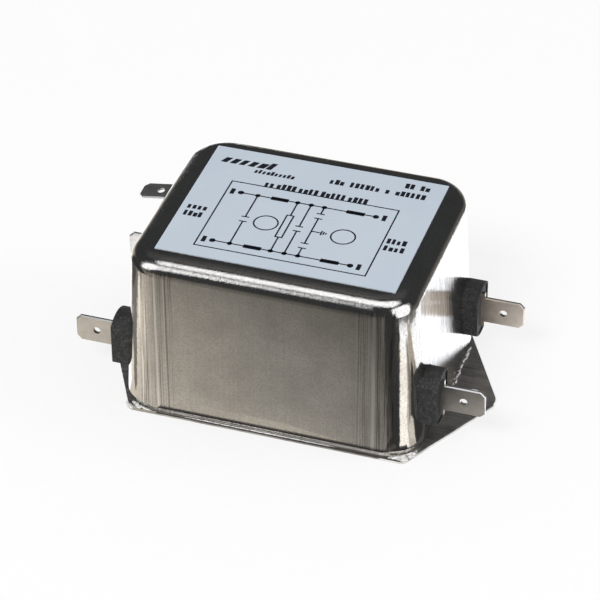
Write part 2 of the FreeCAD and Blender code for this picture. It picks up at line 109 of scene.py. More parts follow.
class Shader:
    """One node material with a Principled surface."""

    def __init__(self, name, **values):
        self.material = bpy.data.materials.new(name)
        self.material.use_nodes = True
        self.tree = self.material.node_tree
        self.surface = self.tree.nodes["Principled BSDF"]
        for socket, value in values.items():
            self.surface.inputs[socket.replace("_", " ")].default_value = value
        self.coordinates = self.tree.nodes.new("ShaderNodeTexCoord").outputs["Object"]

    def node(self, kind, **settings):
        """A new node with some of its settings changed."""
        made = self.tree.nodes.new(kind)
        for key, value in settings.items():
            setattr(made, key, value)
        return made

    def link(self, output, target):
        self.tree.links.new(output, target)

    def stretched(self, scale):
        """The object's coordinates, scaled axis by axis."""
        mapping = self.node("ShaderNodeMapping")
        mapping.inputs["Scale"].default_value = scale
        self.link(self.coordinates, mapping.inputs["Vector"])
        return mapping.outputs["Vector"]

    def noise(self, scale, detail=3.0, roughness=0.5, vector=None, distortion=0.0):
        """A noise whose scale counts its cells in a metre."""
        made = self.node("ShaderNodeTexNoise")
        made.inputs["Scale"].default_value = scale
        made.inputs["Detail"].default_value = detail
        made.inputs["Roughness"].default_value = roughness
        made.inputs["Distortion"].default_value = distortion
        self.link(vector or self.coordinates, made.inputs["Vector"])
        return made.outputs["Fac"]

    def ramp(self, value, stops):
        """A colour read off a row of stops."""
        made = self.node("ShaderNodeValToRGB")
        elements = made.color_ramp.elements
        while len(elements) < len(stops):
            elements.new(0.5)
        for element, (position, color) in zip(elements, stops):
            element.position = position
            element.color = (*color, 1)
        self.link(value, made.inputs["Fac"])
        return made.outputs["Color"]

    def spread(self, value, low, high, out_low, out_high):
        """A value moved from one range to another and held at its ends."""
        made = self.node("ShaderNodeMapRange")
        made.inputs["From Min"].default_value = low
        made.inputs["From Max"].default_value = high
        made.inputs["To Min"].default_value = out_low
        made.inputs["To Max"].default_value = out_high
        self.link(value, made.inputs["Value"])
        return made.outputs["Result"]

    def full(self, value, out_low, out_high):
        """A noise spread over the range that most of it lies in."""
        return self.spread(value, *NOISE_RANGE, out_low, out_high)

    def facing(self, axis, low, high, out_low, out_high):
        """A value spread by how far the surface faces along one axis, either way."""
        split = self.node("ShaderNodeSeparateXYZ")
        self.link(self.node("ShaderNodeTexCoord").outputs["Normal"], split.inputs["Vector"])
        turned = self.math("ABSOLUTE", split.outputs[axis], 0.0)
        return self.spread(turned, low, high, out_low, out_high)

    def belt(self, inner, outer):
        """One where the distance from the middle along X is between two values, nothing elsewhere."""
        split = self.node("ShaderNodeSeparateXYZ")
        self.link(self.coordinates, split.inputs["Vector"])
        away = self.math("ABSOLUTE", split.outputs["X"], 0.0)
        rise = self.spread(away, inner - BELT_EDGE, inner, 0.0, 1.0)
        fall = self.spread(away, outer, outer + BELT_EDGE, 1.0, 0.0)
        return self.math("MULTIPLY", rise, fall)

    def math(self, operation, first, second):
        """Two numbers or outputs put together by one operation."""
        made = self.node("ShaderNodeMath", operation=operation)
        for index, value in enumerate((first, second)):
            if isinstance(value, (int, float)):
                made.inputs[index].default_value = value
            else:
                self.link(value, made.inputs[index])
        return made.outputs["Value"]

    def mix(self, factor, first, second):
        """The first colour where the factor is nothing, the second where it is one."""
        made = self.node("ShaderNodeMix", data_type="RGBA")
        color_inputs = [socket for socket in made.inputs if socket.type == "RGBA"]
        self.link(factor, made.inputs["Factor"])
        for socket, value in zip(color_inputs, (first, second)):
            if isinstance(value, tuple):
                socket.default_value = (*value, 1)
            else:
                self.link(value, socket)
        return next(socket for socket in made.outputs if socket.type == "RGBA")

    def color(self, output):
        self.link(output, self.surface.inputs["Base Color"])

    def roughness(self, output):
        self.link(output, self.surface.inputs["Roughness"])

    def bump(self, height, strength, distance, base=None):
        """Fine relief; a base is the relief that it lies on."""
        made = self.node("ShaderNodeBump")
        made.inputs["Strength"].default_value = strength
        made.inputs["Distance"].default_value = distance
        self.link(height, made.inputs["Height"])
        if base:
            self.link(base, made.inputs["Normal"])
        self.link(made.outputs["Normal"], self.surface.inputs["Normal"])
        return made.outputs["Normal"]


# The can's metal: where its marks show, how strong they are, and its tones
WALL_TILT = (0.25, 0.6)
END_WALL_TURN = (0.93, 0.985)
CORNER_MARKS = (20 * MM, 27 * MM)
STREAK_STRETCH = (2800, 2800, 12)
BAND_STRETCH = (1400, 1400, 6)
FURROW_STRETCH = (2000, 2000, 14)
GRAIN_RANGE = (0.42, 0.60)
END_STAIN = 0.5
STAIN_ALL_OVER = 0.07
CORNER_FURROWS = 0.7
FURROW_DEPTH = 0.06 * MM
PEEL_ON_WALLS = 0.08
PEEL_ON_TOP = 0.92
PEEL_DEPTH = 0.04 * MM
NICKEL_DARK = (0.60, 0.568, 0.525)
NICKEL_PALE = (0.74, 0.705, 0.65)
NICKEL_SPECK = (0.42, 0.40, 0.37)
NICKEL_STREAK = (0.26, 0.245, 0.23)
NICKEL_LINE = (0.95, 0.92, 0.87)


def nickel_can():
    """Drawn nickel-plated steel: soft mottling, fine specks, marks beside the corners and on the ends."""
    look = Shader("nickel_can", Metallic=1.0)
    upright = look.facing("Z", *WALL_TILT, 1.0, 0.0)
    level = look.math("SUBTRACT", 1.0, upright)
    beside_corner = look.belt(*CORNER_MARKS)
    end_wall = look.facing("X", *END_WALL_TURN, 0.0, 1.0)
    stained = look.math("ADD", beside_corner, look.math("MULTIPLY", end_wall, END_STAIN))
    marked = look.math("MULTIPLY", upright, look.math("ADD", stained, STAIN_ALL_OVER))
    furrowed = look.math("ADD", look.math("MULTIPLY", beside_corner, CORNER_FURROWS), end_wall)
    streaks = look.noise(1.0, 4.0, 0.7, look.stretched(STREAK_STRETCH))
    bands = look.noise(1.0, 2.0, 0.5, look.stretched(BAND_STRETCH))
    furrows = look.noise(1.0, 3.0, 0.6, look.stretched(FURROW_STRETCH))
    mottle = look.noise(150, 4.0, 0.6)
    grain = look.noise(2500, 3.0, 0.65)
    pores = look.noise(4000, 2.0, 0.6)
    tone = look.ramp(mottle, [(NOISE_RANGE[0], NICKEL_DARK), (NOISE_RANGE[1], NICKEL_PALE)])
    tone = look.mix(look.spread(grain, *GRAIN_RANGE, 0.0, 0.42), tone, NICKEL_SPECK)
    marks = look.math("MULTIPLY", marked, look.spread(streaks, 0.50, 0.58, 0.0, 0.85))
    tone = look.mix(marks, tone, NICKEL_STREAK)
    lines = look.math("MULTIPLY", marked, look.spread(bands, 0.55, 0.64, 0.0, 0.8))
    look.color(look.mix(lines, tone, NICKEL_LINE))
    wear = look.math("MULTIPLY", marked, look.full(streaks, 0.0, 0.08))
    look.roughness(look.math("ADD", wear, look.spread(grain, *GRAIN_RANGE, 0.06, 0.14)))
    relief = look.math("MULTIPLY", look.math("MULTIPLY", upright, furrowed), furrows)
    furrow_bump = look.bump(relief, 0.8, FURROW_DEPTH)
    peel = look.math("ADD", look.math("MULTIPLY", level, PEEL_ON_TOP), PEEL_ON_WALLS)
    look.bump(look.math("MULTIPLY", peel, pores), 0.6, PEEL_DEPTH, furrow_bump)
    return look.material


PLATE_DARK = (0.38, 0.37, 0.35)
PLATE_PALE = (0.70, 0.675, 0.63)
PLATE_ROLLED = (0.80, 0.775, 0.73)


def nickel_plate():
    """The base plate's sheet: flatter grain and rolling marks along its length."""
    look = Shader("nickel_plate", Metallic=1.0)
    rolling = look.noise(1.0, 3.0, 0.6, look.stretched((90, 1500, 1500)))
    mottle = look.noise(140, 3.0, 0.6)
    tone = look.ramp(mottle, [(0.34, PLATE_DARK), (0.66, PLATE_PALE)])
    rolled = look.spread(rolling, 0.4, 0.7, 0.0, 0.6)
    look.color(look.mix(rolled, tone, PLATE_ROLLED))
    look.roughness(look.full(rolling, 0.34, 0.50))
    look.bump(rolling, 0.15, 0.02 * MM)
    return look.material


BLOTCH_SHADE = 0.72
# Turn of a blade's faces from its broad sides over which the painted bevel highlight fades in
SIDE_TURN = (0.8, 0.97)


def tinned_metal(name, color, low, high, bevel_highlight=None):
    """Stamped, tinned strip with faint handling marks; a last colour, where given, is a painted highlight
    on a blade's bevels and thin faces.
    """
    look = Shader(name, Metallic=1.0)
    marks = look.noise(1.0, 3.0, 0.6, look.stretched((160, 900, 1300)))
    blotch = look.noise(330, 4.0, 0.6)
    darker = tuple(BLOTCH_SHADE * part for part in color)
    tone = look.mix(look.spread(blotch, 0.4, 0.7, 0.0, 0.6), color, darker)
    # Painted highlight: faces turned from the blade's broad sides take a pale colour, like bright bevel
    # lines
    if bevel_highlight:
        tone = look.mix(look.facing("Y", *SIDE_TURN, 1.0, 0.0), tone, bevel_highlight)
    look.color(tone)
    look.roughness(look.full(marks, low, high))
    look.bump(marks, 0.12, 0.02 * MM)
    return look.material


MOULDING_BLACK = (0.019, 0.019, 0.019)
MOULDING_RUBBED = (0.030, 0.030, 0.030)
MOULDING_DUST = (0.12, 0.12, 0.12)


def black_moulding():
    """Black moulded plastic with a fine grain and a little dust."""
    look = Shader("black_moulding", Specular_IOR_Level=0.35)
    grain = look.noise(2600, 4.0, 0.7)
    dust = look.noise(2700, 4.0, 0.7)
    rubbed = look.noise(260, 3.0, 0.6)
    body = look.mix(look.spread(rubbed, 0.35, 0.65, 0.0, 1.0), MOULDING_BLACK, MOULDING_RUBBED)
    look.color(look.mix(look.spread(dust, 0.50, 0.66, 0.0, 0.6), body, MOULDING_DUST))
    look.roughness(look.full(grain, 0.5, 0.75))
    look.bump(grain, 0.8, 0.15 * MM)
    return look.material


FILM_BLUE = (0.505, 0.575, 0.655)
FILM_PALE = (0.54, 0.605, 0.68)
INK_FRESH = (0.010, 0.011, 0.018)
INK_WORN = (0.035, 0.038, 0.05)


def label_film():
    """Pale printed film with a faint paper tone."""
    look = Shader("label_film", Specular_IOR_Level=0.3)
    tone = look.noise(60, 3.0, 0.5)
    fine = look.noise(2600, 2.0, 0.5)
    look.color(look.mix(look.full(tone, 0.0, 1.0), FILM_BLUE, FILM_PALE))
    look.roughness(look.full(fine, 0.45, 0.58))
    look.bump(fine, 0.06, 0.01 * MM)
    return look.material


def print_ink():
    """Printing ink, a little worn."""
    look = Shader("print_ink", Specular_IOR_Level=0.3)
    wear = look.noise(1800, 4.0, 0.7)
    look.color(look.mix(look.spread(wear, 0.55, 0.8, 0.0, 0.5), INK_FRESH, INK_WORN))
    look.roughness(look.full(wear, 0.4, 0.55))
    return look.material


SOLDER_GREY = (0.34, 0.33, 0.31)
SOLDER_PALE = (0.93, 0.925, 0.90)


def bright_solder():
    """Frozen solder: pale, satin, wrinkled tin."""
    look = Shader("bright_solder", Metallic=0.3)
    wrinkle = look.noise(1500, 4.0, 0.6, distortion=0.4)
    look.color(look.ramp(wrinkle, [(0.36, SOLDER_GREY), (0.48, SOLDER_PALE)]))
    look.roughness(look.full(wrinkle, 0.25, 0.5))
    look.bump(wrinkle, 0.3, 0.1 * MM)
    return look.material


GRAIN_LIFT = 1.25
COPPER_DEEP = (0.56, 0.23, 0.09)
COPPER_BRIGHT = (0.70, 0.33, 0.15)


def plain_plastic(name, color, low, high):
    """A moulded or coated inner piece with a little grain."""
    look = Shader(name)
    grain = look.noise(1800, 3.0, 0.6)
    lighter = tuple(min(1.0, GRAIN_LIFT * part) for part in color)
    look.color(look.mix(look.spread(grain, 0.35, 0.7, 0.0, 0.6), color, lighter))
    look.roughness(look.full(grain, low, high))
    look.bump(grain, 0.15, 0.02 * MM)
    return look.material


def copper_wire():
    """Round copper wire under clear enamel."""
    look = Shader("enamelled_copper", Metallic=1.0, Coat_Weight=0.4)
    marks = look.noise(700, 3.0, 0.6)
    look.color(look.mix(look.spread(marks, 0.35, 0.7, 0.0, 1.0), COPPER_DEEP, COPPER_BRIGHT))
    look.roughness(look.full(marks, 0.22, 0.36))
    return look.material


# Tinned and plain materials: colour, lowest and highest roughness, and for one blade the colour of the
# painted highlight on its bevels
TINNED = {
    "tinned_steel": ((0.66, 0.64, 0.60), 0.34, 0.5),
    "tinned_brass": ((0.65, 0.62, 0.58), 0.30, 0.44),
    "tinned_copper": ((0.70, 0.67, 0.63), 0.2, 0.32),
}
# A darker blade; its last colour is a painted highlight on its bevels and thin faces
DULL_BRASS_HIGHLIT_BEVELS = ((0.35, 0.33, 0.305), 0.34, 0.48, (0.95, 0.93, 0.90))
WARM_BRASS = ((0.62, 0.54, 0.45), 0.30, 0.44)
PLAIN = {
    "insulating_paper": ((0.33, 0.27, 0.20), 0.7, 0.85),
    "natural_nylon": ((0.74, 0.72, 0.65), 0.4, 0.55),
    "board_laminate": ((0.05, 0.20, 0.08), 0.3, 0.45),
    "capacitor_case": ((0.70, 0.55, 0.10), 0.3, 0.45),
    "ceramic_coating": ((0.05, 0.18, 0.45), 0.25, 0.4),
    "resistor_coating": ((0.62, 0.48, 0.33), 0.35, 0.5),
    "coated_ferrite": ((0.03, 0.07, 0.05), 0.35, 0.5),
}


def finish_nodes():
    """Gives every CAD node its material by the record's slot; two blades have a tone of their own, one
    with a painted highlight on its bevels.
    """
    by_slot = {
        "nickel_plated_can": nickel_can(),
        "nickel_plated_plate": nickel_plate(),
        "label_film": label_film(),
        "black_bushing": black_moulding(),
        "enamelled_copper": copper_wire(),
    }
    for name, values in TINNED.items():
        by_slot[name] = tinned_metal(name, *values)
    for name, values in PLAIN.items():
        by_slot[name] = plain_plastic(name, *values)
    by_node = {
        "output_line_terminal": tinned_metal("tinned_brass_dull_highlit_bevels", *DULL_BRASS_HIGHLIT_BEVELS),
        "output_neutral_terminal": tinned_metal("tinned_brass_warm", *WARM_BRASS),
    }
    for part in frame["record"]["subparts"]:
        solid = nodes[part["node"]]
        material = by_node.get(part["node"]) or by_slot[part["material_slot"]]
        if solid.material_slots:
            for used in solid.material_slots:
                used.material = material
        else:
            solid.data.materials.append(material)


# Pieces made here
def new_piece(name, shape, material, smooth=False):
    """An object made of a finished shape, with its material."""
    mesh = bpy.data.meshes.new(name)
    shape.to_mesh(mesh)
    shape.free()
    for polygon in mesh.polygons:
        polygon.use_smooth = smooth
    mesh.materials.append(material)
    piece = bpy.data.objects.new(name, mesh)
    bpy.context.scene.collection.objects.link(piece)
    return piece


def prism(shape, outline, low, high):
    """A flat outline, counter-clockwise in X and Y, given a height."""
    bottom = [shape.verts.new((x, y, low)) for x, y in outline]
    top = [shape.verts.new((x, y, high)) for x, y in outline]
    shape.faces.new(list(reversed(bottom)))
    shape.faces.new(top)
    count = len(outline)
    for i in range(count):
        j = (i + 1) % count
        shape.faces.new((bottom[i], bottom[j], top[j], top[i]))


INK_HEIGHT = 0.008 * MM
INK_TOP = label_high.z
INK_LOW = INK_TOP - INK_HEIGHT

# The printed circuit, in millimetres of the part's frame
LINE_WIDTH = 0.32
WIRE_WIDTH = 0.34
FRAME_LEFT = -17.5
FRAME_RIGHT = 18.7
FRAME_LOW = -16.1
FRAME_HIGH = 7.85
LINE_Y = 4.3
NEUTRAL_Y = -13.6
MIDDLE_Y = -4.55
WIRE_START = -14.4
WIRE_END = 14.8
FIRST_COLUMN = -10.7
RESISTOR_COLUMN = -2.0
SECOND_COLUMN = 0.9
EARTH_COLUMN = 3.75
CHOKE_BARS = ((-7.8, -4.0), (8.5, 12.4))
BAR_HEIGHT = 1.2
CORE_CENTRES = (-6.0, 10.5)
CORE_RADIUS = 2.5
RING_STEPS = 48
DOT_RADIUS = 0.58
END_DOT_RADIUS = 1.15 * DOT_RADIUS
DOT_STEPS = 20
PLATE_HALF = 0.85
PLATE_GAP = 0.85
UPPER_PLATES_Y = (LINE_Y + MIDDLE_Y) / 2 + 1.1
LOWER_PLATES_Y = (NEUTRAL_Y + MIDDLE_Y) / 2 - 0.8
RESISTOR_HALF = 0.7
RESISTOR_REACH = 4.0
EARTH_X = 5.9
EARTH_PITCH = 0.48
EARTH_BARS = (0.8, 0.55, 0.3)
MARK_WIDTH = 0.9
MARK_HEIGHT = 2.0
MARK_PLACES = (-16.2, 16.6)

# Rows of blocks: left and right end, middle, block height, pitch, lean, and the blocks in each group
BLOCK_ROWS = (
    (-22.3, -10.4, 15.3, 2.5, 2.1, 0.9, (6,)),
    (-14.3, -5.4, 12.8, 1.4, 0.95, 0.2, (10,)),
    (-10.6, 11.9, 8.9, 1.8, 1.1, 0.0, (2, 4, 4, 5, 4)),
    (2.0, 22.8, 13.9, 1.8, 1.1, 0.0, (3, 6, 1, 6)),
    (17.4, 22.9, 17.0, 1.8, 1.1, 0.0, (2, 2)),
    (-23.3, -18.8, -3.3, 1.8, 1.1, 0.0, (4,)),
    (-23.3, -19.1, -5.9, 1.8, 1.1, 0.0, (4,)),
    (19.4, 23.7, -3.1, 1.8, 1.1, 0.0, (4,)),
    (19.4, 24.0, -5.6, 1.8, 1.1, 0.0, (4,)),
)
BLOCK_SEED = 7
BLOCK_WIDTHS = (0.6, 0.84)
BLOCK_HEIGHTS = (0.76, 1.0)


def ink_point(x, y):
    return (x * MM, y * MM)


def around(x, y, radius, steps):
    """Points of a circle on the label."""
    turns = [2 * math.pi * i / steps for i in range(steps)]
    return [ink_point(x + radius * math.cos(turn), y + radius * math.sin(turn)) for turn in turns]


def ink_line(shape, start, end, width=WIRE_WIDTH):
    """A printed stroke between two points of the label."""
    first = Vector(start)
    last = Vector(end)
    along = (last - first).normalized()
    side = Vector((-along.y, along.x)) * (width / 2)
    corners = [first - side, last - side, last + side, first + side]
    prism(shape, [ink_point(*c) for c in corners], INK_LOW, INK_TOP)


def ink_dot(shape, x, y, radius=DOT_RADIUS):
    prism(shape, around(x, y, radius, DOT_STEPS), INK_LOW, INK_TOP)


def ink_ring(shape, x, y, radius, width=WIRE_WIDTH):
    """A printed circle: an inner and an outer wall, joined below and above."""
    inner, outer = radius - width / 2, radius + width / 2
    loops = []
    for reach, height in ((inner, INK_LOW), (outer, INK_LOW), (outer, INK_TOP), (inner, INK_TOP)):
        loops.append([shape.verts.new((*place, height)) for place in around(x, y, reach, RING_STEPS)])
    for first, second in zip(loops, loops[1:] + loops[:1]):
        for i in range(RING_STEPS):
            j = (i + 1) % RING_STEPS
            shape.faces.new((first[i], first[j], second[j], second[i]))


def ink_box(shape, left, low, right, high, width=LINE_WIDTH):
    """A printed frame of four strokes."""
    ink_line(shape, (left - width / 2, low), (right + width / 2, low), width)
    ink_line(shape, (left - width / 2, high), (right + width / 2, high), width)
    ink_line(shape, (left, low), (left, high), width)
    ink_line(shape, (right, low), (right, high), width)


def ink_capacitor(shape, x, top, bottom, middle):
    """Two plates across a column, with its wires."""
    for y, end in ((middle + PLATE_GAP, top), (middle - PLATE_GAP, bottom)):
        ink_line(shape, (x - PLATE_HALF, y), (x + PLATE_HALF, y))
        ink_line(shape, (x, y), (x, end))


def ink_earth(shape, x, y):
    """Three strokes, each shorter than the one before."""
    for step, half in enumerate(EARTH_BARS):
        place = x + EARTH_PITCH * step
        ink_line(shape, (place, y - half), (place, y + half), LINE_WIDTH)


def ink_resistor(shape, x):
    """An upright box between the two wires."""
    low, high = MIDDLE_Y - RESISTOR_REACH, MIDDLE_Y + RESISTOR_REACH
    ink_box(shape, x - RESISTOR_HALF, low, x + RESISTOR_HALF, high, WIRE_WIDTH)
    ink_line(shape, (x, LINE_Y), (x, high))
    ink_line(shape, (x, NEUTRAL_Y), (x, low))


def ink_mark(shape, x, y):
    """A plain upright block beside an end of a wire."""
    ink_line(shape, (x, y - MARK_HEIGHT / 2), (x, y + MARK_HEIGHT / 2), MARK_WIDTH)


def ink_block(shape, x, y, width, height, lean):
    """A block whose top leans to the right."""
    low, high = y - height / 2, y + height / 2
    outline = [(x, low), (x + width, low), (x + width + lean, high), (x + lean, high)]
    prism(shape, [ink_point(*corner) for corner in outline], INK_LOW, INK_TOP)


def print_circuit():
    """The two-stage filter circuit: a generic diagram of lines, dots, bars, plates and rings."""
    shape = bmesh.new()
    ink_box(shape, FRAME_LEFT, FRAME_LOW, FRAME_RIGHT, FRAME_HIGH)
    for y in (LINE_Y, NEUTRAL_Y):
        ink_line(shape, (WIRE_START, y), (WIRE_END, y))
        for x in (WIRE_START, WIRE_END):
            ink_dot(shape, x, y, END_DOT_RADIUS)
        for x in (FIRST_COLUMN, RESISTOR_COLUMN, SECOND_COLUMN, EARTH_COLUMN):
            ink_dot(shape, x, y)
        for left, right in CHOKE_BARS:
            ink_line(shape, (left, y), (right, y), BAR_HEIGHT)
        for x in MARK_PLACES:
            ink_mark(shape, x, y)
    ink_capacitor(shape, FIRST_COLUMN, LINE_Y, NEUTRAL_Y, MIDDLE_Y)
    ink_capacitor(shape, SECOND_COLUMN, LINE_Y, NEUTRAL_Y, MIDDLE_Y)
    ink_capacitor(shape, EARTH_COLUMN, LINE_Y, MIDDLE_Y, UPPER_PLATES_Y)
    ink_capacitor(shape, EARTH_COLUMN, MIDDLE_Y, NEUTRAL_Y, LOWER_PLATES_Y)
    ink_line(shape, (EARTH_COLUMN, MIDDLE_Y), (EARTH_X, MIDDLE_Y))
    ink_earth(shape, EARTH_X, MIDDLE_Y)
    ink_resistor(shape, RESISTOR_COLUMN)
    for x in CORE_CENTRES:
        ink_ring(shape, x, MIDDLE_Y, CORE_RADIUS)
    return shape


def print_blocks():
    """Rows of small plain blocks where the words stood."""
    shape = bmesh.new()
    chance = random.Random(BLOCK_SEED)
    for left, right, y, height, pitch, lean, groups in BLOCK_ROWS:
        count = sum(groups)
        spaces = len(groups) - 1
        space = (right - left - count * pitch) / spaces if spaces else 0.0
        step = pitch if spaces else (right - left) / count
        x = left
        for group in groups:
            for _ in range(group):
                wide = step * chance.uniform(*BLOCK_WIDTHS)
                tall = height * chance.choice(BLOCK_HEIGHTS)
                ink_block(shape, x, y - (height - tall) / 2, wide, tall, lean)
                x += step
            x += space
    return shape


def make_label():
    """The film itself, a hair thinner than its CAD solid so that the ink ends flush with it."""
    shape = bmesh.new()
    outline = [
        (label_low.x, label_low.y),
        (label_high.x, label_low.y),
        (label_high.x, label_high.y),
        (label_low.x, label_high.y),
    ]
    prism(shape, outline, label_low.z, INK_LOW)
    surface = nodes["rating_label"].material_slots[0].material
    film = new_piece("label_film_sheet", shape, surface)
    ink = print_ink()
    circuit = new_piece("label_circuit", print_circuit(), ink)
    blocks = new_piece("label_blocks", print_blocks(), ink)
    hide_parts("rating_label")
    for piece in (film, circuit, blocks):
        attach(piece, "root")


# Solder: how a bead swells along its path, and how far it stays inside the part's box
BEAD_SIDES = 10
BEAD_TAPER = 0.35
BEAD_PITCH = 0.55
LEAST_SWELL = 0.15
FINE_SWELL = 0.5
FINE_PITCH = 3.1
BOX_CLEARANCE = 0.001 * MM

# Smears at the front corners: side, first and last degree from the front face, and seed
SMEARED_CORNERS = ((1, 14, 60, 4.0), (-1, 4, 40, 21.0))
SMEAR_TRIM = 8
SMEAR_TIP = (22, 44)
# Rows of a smear, outwards, in millimetres: distance out, rise, half width, half height; seed, roughness
SMEAR_ROWS = (
    (0.2, 0.05, 0.5, 0.3, 0, 1.0),
    (0.8, -0.15, 0.4, 0.35, 9, 1.3),
    (1.3, -0.15, 0.35, 0.3, 17, 1.2),
)
CORNER_RADIUS = 8 * MM
CORNER_STEP = 1.6

# Ripples along both ends, in millimetres and degrees
RIPPLE_SEED = 19
RIPPLE_START = -9 * MM
RIPPLE_INWARD = 0.45 * MM
RIPPLE_RISE = 0.15 * MM
RIPPLE_WANDER = 0.1
RIPPLE_RADII = (0.5, 1.0)
RIPPLE_FIRST = (-80, -30)
RIPPLE_SWEEP = (60, 110)
RIPPLE_THICKNESS = (0.1, 0.2)
RIPPLE_SPACING = (0.6, 1.3)
RIPPLE_STEPS = 7
RIPPLE_ROUGHNESS = 0.6
RIPPLE_VARIETY = 100

# The thin line along the front
SEAM_LINE = (-17.5 * MM, 15 * MM)
SEAM_INSET = 0.16 * MM
SEAM_HEIGHT = 0.14 * MM
SEAM_STEPS = 70
SEAM_SEED = 90.0
SEAM_ROUGHNESS = 0.8


def solder_run(shape, path, width, height, seed, rough):
    """Frozen solder along a path: a bead whose width and height jump about."""
    count = len(path)
    rings = []
    for i, point in enumerate(path):
        along = (path[min(i + 1, count - 1)] - path[max(i - 1, 0)]).normalized()
        side = Vector((-along.y, along.x, 0)).normalized()
        taper = math.sin(math.pi * (i + 0.5) / count) ** BEAD_TAPER
        ring = []
        for k in range(BEAD_SIDES):
            angle = 2 * math.pi * k / BEAD_SIDES
            spot = Vector((i * BEAD_PITCH + seed, math.cos(angle), math.sin(angle)))
            fine = FINE_SWELL * rough * noise.noise(spot * FINE_PITCH)
            swell = taper * max(LEAST_SWELL, 1 + rough * noise.noise(spot) + fine)
            rise = Vector((0, 0, math.sin(angle) * height * swell))
            ring.append(shape.verts.new(point + side * (math.cos(angle) * width * swell) + rise))
        rings.append(ring)
    for first, second in zip(rings, rings[1:]):
        for k in range(BEAD_SIDES):
            j = (k + 1) % BEAD_SIDES
            shape.faces.new((first[k], first[j], second[j], second[k]))
    shape.faces.new(list(reversed(rings[0])))
    shape.faces.new(rings[-1])


def clamp_to_box(shape):
    """Keeps solder inside the part's own box."""
    for vertex in shape.verts:
        for axis in range(3):
            low = cad_low[axis] + BOX_CLEARANCE
            high = cad_high[axis] - BOX_CLEARANCE
            vertex.co[axis] = min(max(vertex.co[axis], low), high)


def corner_path(side, first, last, outward, height):
    """Points round the foot of a front corner, by degrees from its front face."""
    centre = Vector((can_high.x - CORNER_RADIUS, can_low.y + CORNER_RADIUS))
    steps = int(abs(last - first) / CORNER_STEP)
    path = []
    for i in range(steps + 1):
        turn = math.radians(first + (last - first) * i / steps)
        x = centre.x + (CORNER_RADIUS + outward) * math.sin(turn)
        y = centre.y - (CORNER_RADIUS + outward) * math.cos(turn)
        path.append(Vector((side * x, y, height)))
    return path


def corner_smear(shape, side, first, last, seed):
    """Rows of solder between the can's corner and the plate's."""
    spans = ((first, last), (first + SMEAR_TRIM, last - SMEAR_TRIM), SMEAR_TIP)
    for (start, end), (outward, rise, width, height, step, rough) in zip(spans, SMEAR_ROWS):
        path = corner_path(side, start, end, outward * MM, plate_top + rise * MM)
        solder_run(shape, path, width * MM, height * MM, seed + step, rough)


def seam_ripples(shape, side, chance):
    """Short bright ripples, one beside the other, along the foot of an end wall."""
    reach = can_high.y - CORNER_RADIUS
    y = RIPPLE_START
    while y < reach:
        wander = chance.uniform(-RIPPLE_WANDER, RIPPLE_WANDER) * MM
        centre = Vector((side * (can_high.x - RIPPLE_INWARD + wander), y, plate_top + RIPPLE_RISE))
        radius = chance.uniform(*RIPPLE_RADII) * MM
        first = chance.uniform(*RIPPLE_FIRST)
        sweep = chance.uniform(*RIPPLE_SWEEP)
        path = []
        for i in range(RIPPLE_STEPS + 1):
            turn = math.radians(first + sweep * i / RIPPLE_STEPS)
            path.append(centre + Vector((side * radius * math.cos(turn), radius * math.sin(turn), 0)))
        thick = chance.uniform(*RIPPLE_THICKNESS) * MM
        solder_run(shape, path, thick, thick, RIPPLE_VARIETY * y, RIPPLE_ROUGHNESS)
        y += chance.uniform(*RIPPLE_SPACING) * MM


def seam_line(shape):
    """A thin line of solder between the can and the plate's front edge."""
    left, right = SEAM_LINE
    front = cad_low.y + SEAM_INSET
    path = []
    for i in range(SEAM_STEPS + 1):
        path.append(Vector((left + (right - left) * i / SEAM_STEPS, front, plate_top)))
    solder_run(shape, path, SEAM_INSET, SEAM_HEIGHT, SEAM_SEED, SEAM_ROUGHNESS)


def make_solder():
    """Solder that joins the can to the plate: smears at two corners, ripples, a thin line in front."""
    shape = bmesh.new()
    chance = random.Random(RIPPLE_SEED)
    for side, first, last, seed in SMEARED_CORNERS:
        corner_smear(shape, side, first, last, seed)
        seam_ripples(shape, side, chance)
    seam_line(shape)
    clamp_to_box(shape)
    solder = bright_solder()
    beads = new_piece("corner_and_seam_solder", shape, solder, smooth=True)
    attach(beads, "root")


# Tones of what the metal mirrors
DARK = (0.046, 0.049, 0.054)
DIM = (0.085, 0.088, 0.094)
BRIGHTER_DIM = (0.18, 0.174, 0.165)
BLACK = (0.044, 0.045, 0.047)
SHADE = (0.105, 0.102, 0.098)
EDGE_GREY = (0.11, 0.11, 0.11)
WARM_GREY = (0.27, 0.25, 0.225)
BROWN_SHADE = (0.26, 0.25, 0.235)
BROWN = (0.32, 0.30, 0.27)
FOOT_LIGHT = (0.60, 0.57, 0.52)
BEIGE = (0.62, 0.57, 0.50)
DULL_CREAM = (0.74, 0.71, 0.66)
CORNER_LIGHT = (0.92, 0.89, 0.84)
CREAM = (1.50, 1.47, 1.43)
WHITE = (1.62, 1.68, 1.80)

# The bench before the part: its tone from left to right, by millimetres across the mirrored view
BENCH_TONES = (
    (-60, (0.64, 0.60, 0.54)),
    (-46, (0.60, 0.565, 0.51)),
    (-32, (0.48, 0.452, 0.413)),
    (-17, (0.37, 0.352, 0.325)),
    (0, (0.285, 0.275, 0.258)),
    (17, (0.25, 0.241, 0.228)),
    (25, (0.185, 0.18, 0.172)),
)
MIRROR_SLANT = 0.3256
MIRROR_SHIFT = 8.0 * MM
# How bright it is, by millimetres in Y and by millimetres away from its bright middle
BENCH_GAIN = 1.8
NEAR_GAINS = ((-75, 0.52), (-62, 0.56), (-48, 0.68), (-35, 0.78), (-25, 1.0))
FAR_GAINS = ((0, 1.0), (62, 1.0), (73, 0.74), (110, 0.60), (170, 0.42), (300, 0.15))
BRIGHT_MIDDLE = (-20 * MM, 0, 0)
BENCH_HEIGHT = 0.1 * MM
BENCH_LAYER = 0.05 * MM
BENCH_REACH = 1.6

